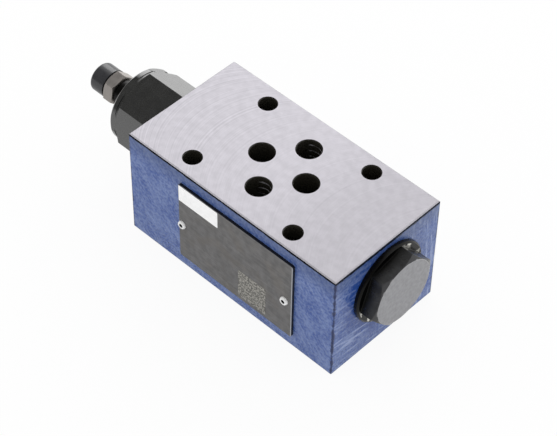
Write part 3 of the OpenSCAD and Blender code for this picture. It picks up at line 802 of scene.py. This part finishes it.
def threaded_screw(shape, material):
    """The adjusting screw with its thread and socket, along the adjuster's axis."""
    run = SCREW_HIGH.x - SCREW_LOW.x
    tree = Shape("Threaded screw", {
        "Diameter": SCREW_HIGH.y - SCREW_LOW.y, "Length": run, "Pitch": shape.pitch, "Depth": shape.depth,
        "Chamfer": shape.chamfer, "Socket": shape.socket, "Socket depth": shape.socket_depth,
        "Columns": shape.columns, "Rows": round(run / shape.pitch * shape.rows), "Material": material})
    given = tree.given

    # A sheet of one by one, wound into the thread
    sheet = tree.out("GeometryNodeMeshGrid", (1.0, 1.0, given["Rows"], tree.plus(given["Columns"], 1.0)))
    spot = tree.split(tree.out("GeometryNodeInputPosition"))
    along = tree.times(tree.plus(spot[0], 0.5), given["Length"])
    turns = tree.plus(spot[1], 0.5)
    phase = tree.math("FRACT", tree.plus(tree.math("DIVIDE", along, given["Pitch"]), turns))
    ridge = tree.math("ABSOLUTE", tree.minus(tree.times(phase, 2.0), 1.0))
    radius = tree.times(given["Diameter"], 0.5)
    thread = tree.minus(radius, tree.times(given["Depth"], tree.rise(ridge, CREST, ROOT, soft=False)))
    from_end = tree.math("MINIMUM", along, tree.minus(given["Length"], along))
    end_radius = tree.minus(radius, given["Chamfer"])
    outline = tree.math("MINIMUM", thread, tree.plus(end_radius, from_end))
    place = tree.around_axis(along, outline, tree.times(turns, -math.tau))
    wound = tree.out("GeometryNodeSetPosition", {"Geometry": sheet, "Position": place})

    # A disc on each end, and the socket cut into the outer one
    disc = tree.out("GeometryNodeMeshCircle", (given["Columns"], end_radius), fill_type="NGON")
    facing = [math.radians(90), 0, math.radians(90)]
    upright = tree.out("GeometryNodeTransform", {"Geometry": disc, "Rotation": facing})
    near = tree.out("GeometryNodeFlipFaces", (upright,))
    far_end = tree.spot(given["Length"], 0.0, 0.0)
    far = tree.out("GeometryNodeTransform", {"Geometry": upright, "Translation": far_end})
    shell = tree.add("GeometryNodeJoinGeometry")
    for part in (wound, near, far):
        tree.tree.links.new(part, shell.inputs[0])
    closed = tree.out(
        "GeometryNodeMergeByDistance", {"Geometry": shell.outputs[0], "Distance": THREAD_JOIN})
    socket = tree.out("GeometryNodeMeshCylinder", {
        "Vertices": 6, "Radius": tree.math("DIVIDE", given["Socket"], 2 * math.cos(math.radians(30))),
        "Depth": tree.times(given["Socket depth"], 2.0)})
    pocket = tree.out("GeometryNodeTransform", {"Geometry": socket, "Rotation": facing})
    cut = tree.add("GeometryNodeMeshBoolean", {"Mesh 1": closed}, operation="DIFFERENCE")
    tree.tree.links.new(pocket, cut.inputs["Mesh 2"])
    return tree.piece(cut.outputs[0], "adjusting_screw_threaded", SCREW_LOW.x, THREAD_EDGE)


def place_of_turn(node, wire, turns, closed, turn):
    """Where along the axis a free turn of a wound spring lies."""
    low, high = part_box(node)
    free = high.x - low.x - wire - 2 * closed * wire
    return low.x + wire / 2 + closed * wire + free * (turn - 1) / (turns - 2)


def wound_spring(name, node, wire, turns, closed, first, last, shape, material):
    """The stretch between two turns of a round wire with closed end turns, in the place of a CAD spring."""
    low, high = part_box(node)
    tree = Shape("Wound spring", {
        "Length": high.x - low.x, "Outside": high.y - low.y, "Wire": wire, "Turns": turns,
        "First": float(first), "Stretch": float(last - first), "Closed": closed,
        "Steps": shape.steps, "Sides": shape.sides, "Material": material})
    given = tree.given
    steps = tree.math("ROUND", tree.times(given["Stretch"], given["Steps"]))
    line = tree.out("GeometryNodeMeshLine", {"Count": tree.plus(steps, 1.0)})
    index = tree.out("GeometryNodeInputIndex")
    turn = tree.plus(given["First"], tree.math("DIVIDE", index, given["Steps"]))
    end_rise = tree.times(given["Wire"], given["Closed"])
    end_turn = tree.minus(given["Turns"], 1.0)
    free = tree.minus(tree.minus(given["Length"], given["Wire"]), tree.times(end_rise, 2.0))
    climb = tree.plus(
        tree.rise(turn, 0.0, 1.0, 0.0, end_rise, soft=False),
        tree.rise(turn, 1.0, end_turn, 0.0, free, soft=False),
        tree.rise(turn, end_turn, given["Turns"], 0.0, end_rise, soft=False))
    half_wire = tree.times(given["Wire"], 0.5)
    coil = tree.times(tree.minus(given["Outside"], given["Wire"]), 0.5)
    place = tree.around_axis(tree.plus(climb, half_wire), coil, tree.times(turn, math.tau))
    path = tree.out("GeometryNodeSetPosition", {"Geometry": line, "Position": place})
    curve = tree.out("GeometryNodeMeshToCurve", (path,))
    section = tree.out(
        "GeometryNodeCurvePrimitiveCircle", {"Resolution": given["Sides"], "Radius": half_wire})
    tube = tree.out(
        "GeometryNodeCurveToMesh", {"Curve": curve, "Profile Curve": section, "Fill Caps": True})
    return tree.piece(tube, name, low.x, WIRE_EDGE)


class VALVE_OT_block(bpy.types.Operator):
    """Paints the cast block and finishes its ground faces and bores"""

    bl_idname = "valve.block"
    bl_label = "Block"

    def execute(self, context):
        coat("valve_body", painted_iron(context.scene.valve_block))
        return {"FINISHED"}


class VALVE_OT_name_plate(bpy.types.Operator):
    """Finishes the name plate with its bare fields and its two pins"""

    bl_idname = "valve.name_plate"
    bl_label = "Name plate"

    def execute(self, context):
        look = context.scene.valve_plate
        coat("name_plate", plate_metal(look))
        field_on_plate(
            "white_field", look, PLATE_LOW.x + look.white_left,
            PLATE_HIGH.z - look.white_drop - look.white_depth, look.white_width, look.white_depth,
            field_print("white_print", look.white, contrast=0.02, speck=1.5))
        field_on_plate(
            "marked_field", look, PLATE_LOW.x + look.marked_left, PLATE_LOW.z + look.marked_rise,
            look.marked_side, look.marked_side,
            field_print("marked_print", look.marked, contrast=0.6, speck=0.65))
        for node in ("plate_pin_left", "plate_pin_right"):
            coat(node, pin_metal(node + "_steel", node, context.scene.valve_steel))
        return {"FINISHED"}


class VALVE_OT_adjuster(bpy.types.Operator):
    """Finishes the sleeve, the lock nut and the cap"""

    bl_idname = "valve.adjuster"
    bl_label = "Adjuster"

    def execute(self, context):
        look = context.scene.valve_steel
        oiled = black_steel(
            "sleeve_oxide", look.oxide, ior=1.9, Coat_Weight=1.0, Coat_Roughness=0.1, Coat_IOR=1.5)
        sleeve = eased_copy("adjuster_sleeve", look.ease, oiled)
        # Painted shade: the sleeve's neck is made deep black.
        coat_stretch(sleeve, neck_shade_steel(look), -math.inf, SLEEVE_END + look.neck_length)
        plating = turned_metal("nut_plating", look.nut, roughness=0.4)
        eased_copy("lock_nut", look.ease / 2, plating)
        plastic = moulded("cap_plastic", look.cap, roughness=0.2, grain=0.4, depth=0.006, ior=1.7)
        coat("protective_cap", plastic)
        return {"FINISHED"}


class VALVE_OT_screw(bpy.types.Operator):
    """Cuts the thread and the socket of the adjusting screw"""

    bl_idname = "valve.screw"
    bl_label = "Adjusting screw"

    def execute(self, context):
        finish = turned_metal("screw_steel", context.scene.valve_steel.cut, roughness=0.32)
        piece = threaded_screw(context.scene.valve_screw, finish)
        stand_for(piece, "adjusting_screw")
        return {"FINISHED"}


class VALVE_OT_springs(bpy.types.Operator):
    """Winds the pilot spring and the main spring"""

    bl_idname = "valve.springs"
    bl_label = "Springs"

    def execute(self, context):
        shape = context.scene.valve_springs
        finish = turned_metal("spring_wire", context.scene.valve_steel.spring, roughness=0.35, groove=0.5)
        pilot = "pilot_spring", shape.pilot_wire, shape.pilot_turns, shape.closed
        still = place_of_turn(*pilot, shape.pilot_still)
        pilot_low, pilot_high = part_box("pilot_spring")
        for name, first, last, moving, pushed in (
                ("pilot_spring_plate_end", 0, shape.pilot_still, "plunger", pilot_low),
                ("pilot_spring_poppet_end", shape.pilot_still, shape.pilot_turns, "poppet", pilot_high)):
            piece = wound_spring(name, *pilot, first, last, shape, finish)
            self.hold(piece, "pilot_spring", moving, still, pushed.x)
        main = "main_spring", shape.main_wire, shape.main_turns, shape.closed
        main_low, main_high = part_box("main_spring")
        piece = wound_spring("main_spring_wire", *main, 0, shape.main_turns, shape, finish)
        self.hold(piece, "main_spring", "spool", main_low.x, main_high.x)
        return {"FINISHED"}

    def hold(self, piece, node, moving, still, pushed):
        """Holds a stretch of a spring still at one place, and lets a body push it at another."""
        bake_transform(piece, "valve", moving, start=(still, 0, AXIS.z), end=(pushed, 0, AXIS.z))
        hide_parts(node)


class VALVE_OT_cartridge(bpy.types.Operator):
    """Finishes the bush, the spool, the pilot stage and the seals"""

    bl_idname = "valve.cartridge"
    bl_label = "Cartridge and seals"

    def execute(self, context):
        look = context.scene.valve_steel
        ground = turned_metal("ground_steel", look.cut, roughness=0.26)
        for node in ("valve_bush", "main_spool", "pilot_seat", "pilot_poppet", "spring_plate"):
            coat(node, ground)
        coat("spool_jet", turned_metal("jet_brass", look.brass, roughness=0.3))
        backup = moulded("backup_plastic", look.backup, roughness=0.5, grain=0.3, depth=0.004)
        coat("bush_backup_ring", backup)
        rubber = moulded("seal_rubber", look.rubber, roughness=0.55, grain=0.25, depth=0.008)
        for node in frame["nodes"]:
            if node.startswith("port_seal") or node.endswith("_seal"):
                coat(node, rubber)
        return {"FINISHED"}


class VALVE_OT_end_plug(bpy.types.Operator):
    """Finishes the plug at the other end"""

    bl_idname = "valve.end_plug"
    bl_label = "End plug"

    def execute(self, context):
        look = context.scene.valve_steel
        plug = eased_copy("end_plug", look.ease, plug_steel(look))
        front = BLOCK_HIGH.x + look.flange_height
        # Painted shade: the flange's rim is made deep black.
        coat_stretch(plug, neck_shade_steel(look), BLOCK_HIGH.x, front)
        coat_stretch(plug, patched_glint_steel(look), BLOCK_HIGH.x, front, SQUARE_FACING)
        return {"FINISHED"}


class VALVE_OT_stage(bpy.types.Operator):
    """Sets the camera, the floor, the lamp and the surroundings"""

    bl_idname = "valve.stage"
    bl_label = "Stage"

    def execute(self, context):
        scene = context.scene
        look = scene.valve_stage
        scene.view_settings.view_transform = "Standard"
        self.set_camera(scene, look)
        self.lay_floor(look)
        self.hang_lamp(look)
        self.light_world(scene, look)
        return {"FINISHED"}

    def set_camera(self, scene, look):
        """Stands the camera at the photograph's viewing angle."""
        camera = new_object("camera", bpy.data.cameras.new("camera"))
        camera.data.lens = look.lens
        camera.data.clip_start = look.nearest
        camera.location = look.camera_place
        camera.rotation_euler = look.camera_turn
        scene.camera = camera

    def lay_floor(self, look):
        """Lays a matt floor, which is nearly white to the camera and dimmer to gloss in front."""
        mesh = bpy.data.meshes.new("floor")
        half = look.floor_half
        corners = [(-half, -half, 0), (half, -half, 0), (half, half, 0), (-half, half, 0)]
        mesh.from_pydata(corners, [], [(0, 1, 2, 3)])
        material = bpy.data.materials.new("floor")
        tree = Tree.cleared(material)
        straight, glossy = tree.rays()
        depth = tree.split(tree.add("ShaderNodeTexCoord").outputs["Object"])[1]
        mirrored = tree.times(glossy, tree.rise(depth, FLOOR_FRONT, FLOOR_BEHIND, look.floor_dim, 1.0))
        glowing = tree.plus(tree.times(straight, look.floor_white), glossy)
        matt = tree.out("ShaderNodeBsdfDiffuse", {"Color": look.floor})
        strength = tree.plus(straight, mirrored)
        white = tree.out("ShaderNodeEmission", {"Color": (1, 1, 1), "Strength": strength})
        both = tree.out("ShaderNodeMixShader", (glowing, matt, white))
        tree.add("ShaderNodeOutputMaterial", {"Surface": both})
        mesh.materials.append(material)
        floor = new_object("floor", mesh)

    def hang_lamp(self, look):
        """Hangs one large soft lamp behind the object, turned towards it."""
        lamp = bpy.data.lights.new("key", "AREA")
        lamp.shape = "DISK"
        lamp.size = look.key_size
        lamp.energy = look.key
        holder = new_object("key", lamp)
        holder.location = look.key_place
        holder.rotation_euler = holder.location.to_track_quat("Z", "Y").to_euler()

    def light_world(self, scene, look):
        """Gives even light from all around, which is white to the camera and dimmer to gloss in front."""
        world = bpy.data.worlds.new("studio")
        tree = Tree.cleared(world)
        straight, glossy = tree.rays()
        way = tree.split(tree.add("ShaderNodeTexCoord").outputs["Generated"])
        behind = tree.rise(way[1], SKY_FRONT, SKY_BEHIND, look.dim, look.glow)
        at_left = tree.rise(way[0], SKY_LEFT, SKY_REST, 1.0, look.over)
        low_down = tree.rise(way[2], SKY_OVER, SKY_BELOW)
        mirrored = tree.times(behind, tree.math("MAXIMUM", at_left, low_down))
        bounced = tree.plus(tree.times(glossy, mirrored), tree.times(tree.rest(glossy), look.sky))
        level = tree.plus(straight, tree.times(tree.rest(straight), bounced))
        sky = tree.out("ShaderNodeBackground", {"Color": (1, 1, 1), "Strength": level})
        tree.add("ShaderNodeOutputWorld", {"Surface": sky})
        scene.world = world


class VALVE_PT_looks(bpy.types.Panel):
    """Lists the operators with their looks and sizes"""

    bl_idname = "VALVE_PT_looks"
    bl_label = "Sandwich valve"
    bl_space_type = "VIEW_3D"
    bl_region_type = "UI"
    bl_category = "Valve"

    def draw(self, context):
        for operator in OPERATORS:
            self.layout.operator(operator.bl_idname)
        for name in LOOKS:
            box = self.layout.box()
            look = getattr(context.scene, name)
            for key in look.__annotations__:
                box.prop(look, key)


LOOKS = {
    "valve_block": BlockLook, "valve_plate": PlateLook, "valve_steel": SteelLook, "valve_screw": ScrewShape,
    "valve_springs": SpringShape, "valve_stage": StageLook,
}
OPERATORS = (
    VALVE_OT_block, VALVE_OT_name_plate, VALVE_OT_adjuster, VALVE_OT_screw, VALVE_OT_springs,
    VALVE_OT_cartridge, VALVE_OT_end_plug, VALVE_OT_stage,
)


def register():
    """Registers the classes, and gives scenes their looks."""
    for group in (*LOOKS.values(), *OPERATORS, VALVE_PT_looks):
        bpy.utils.register_class(group)
    for name, group in LOOKS.items():
        setattr(bpy.types.Scene, name, PointerProperty(type=group))


def unregister():
    """Takes back what register gave."""
    for name in LOOKS:
        delattr(bpy.types.Scene, name)
    for group in (VALVE_PT_looks, *reversed(OPERATORS), *reversed(LOOKS.values())):
        bpy.utils.unregister_class(group)


def main():
    """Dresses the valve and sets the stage."""
    register()
    for operator in OPERATORS:
        group, name = operator.bl_idname.split(".")
        getattr(getattr(bpy.ops, group), name)()
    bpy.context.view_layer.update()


if __name__ == "__main__":
    main()
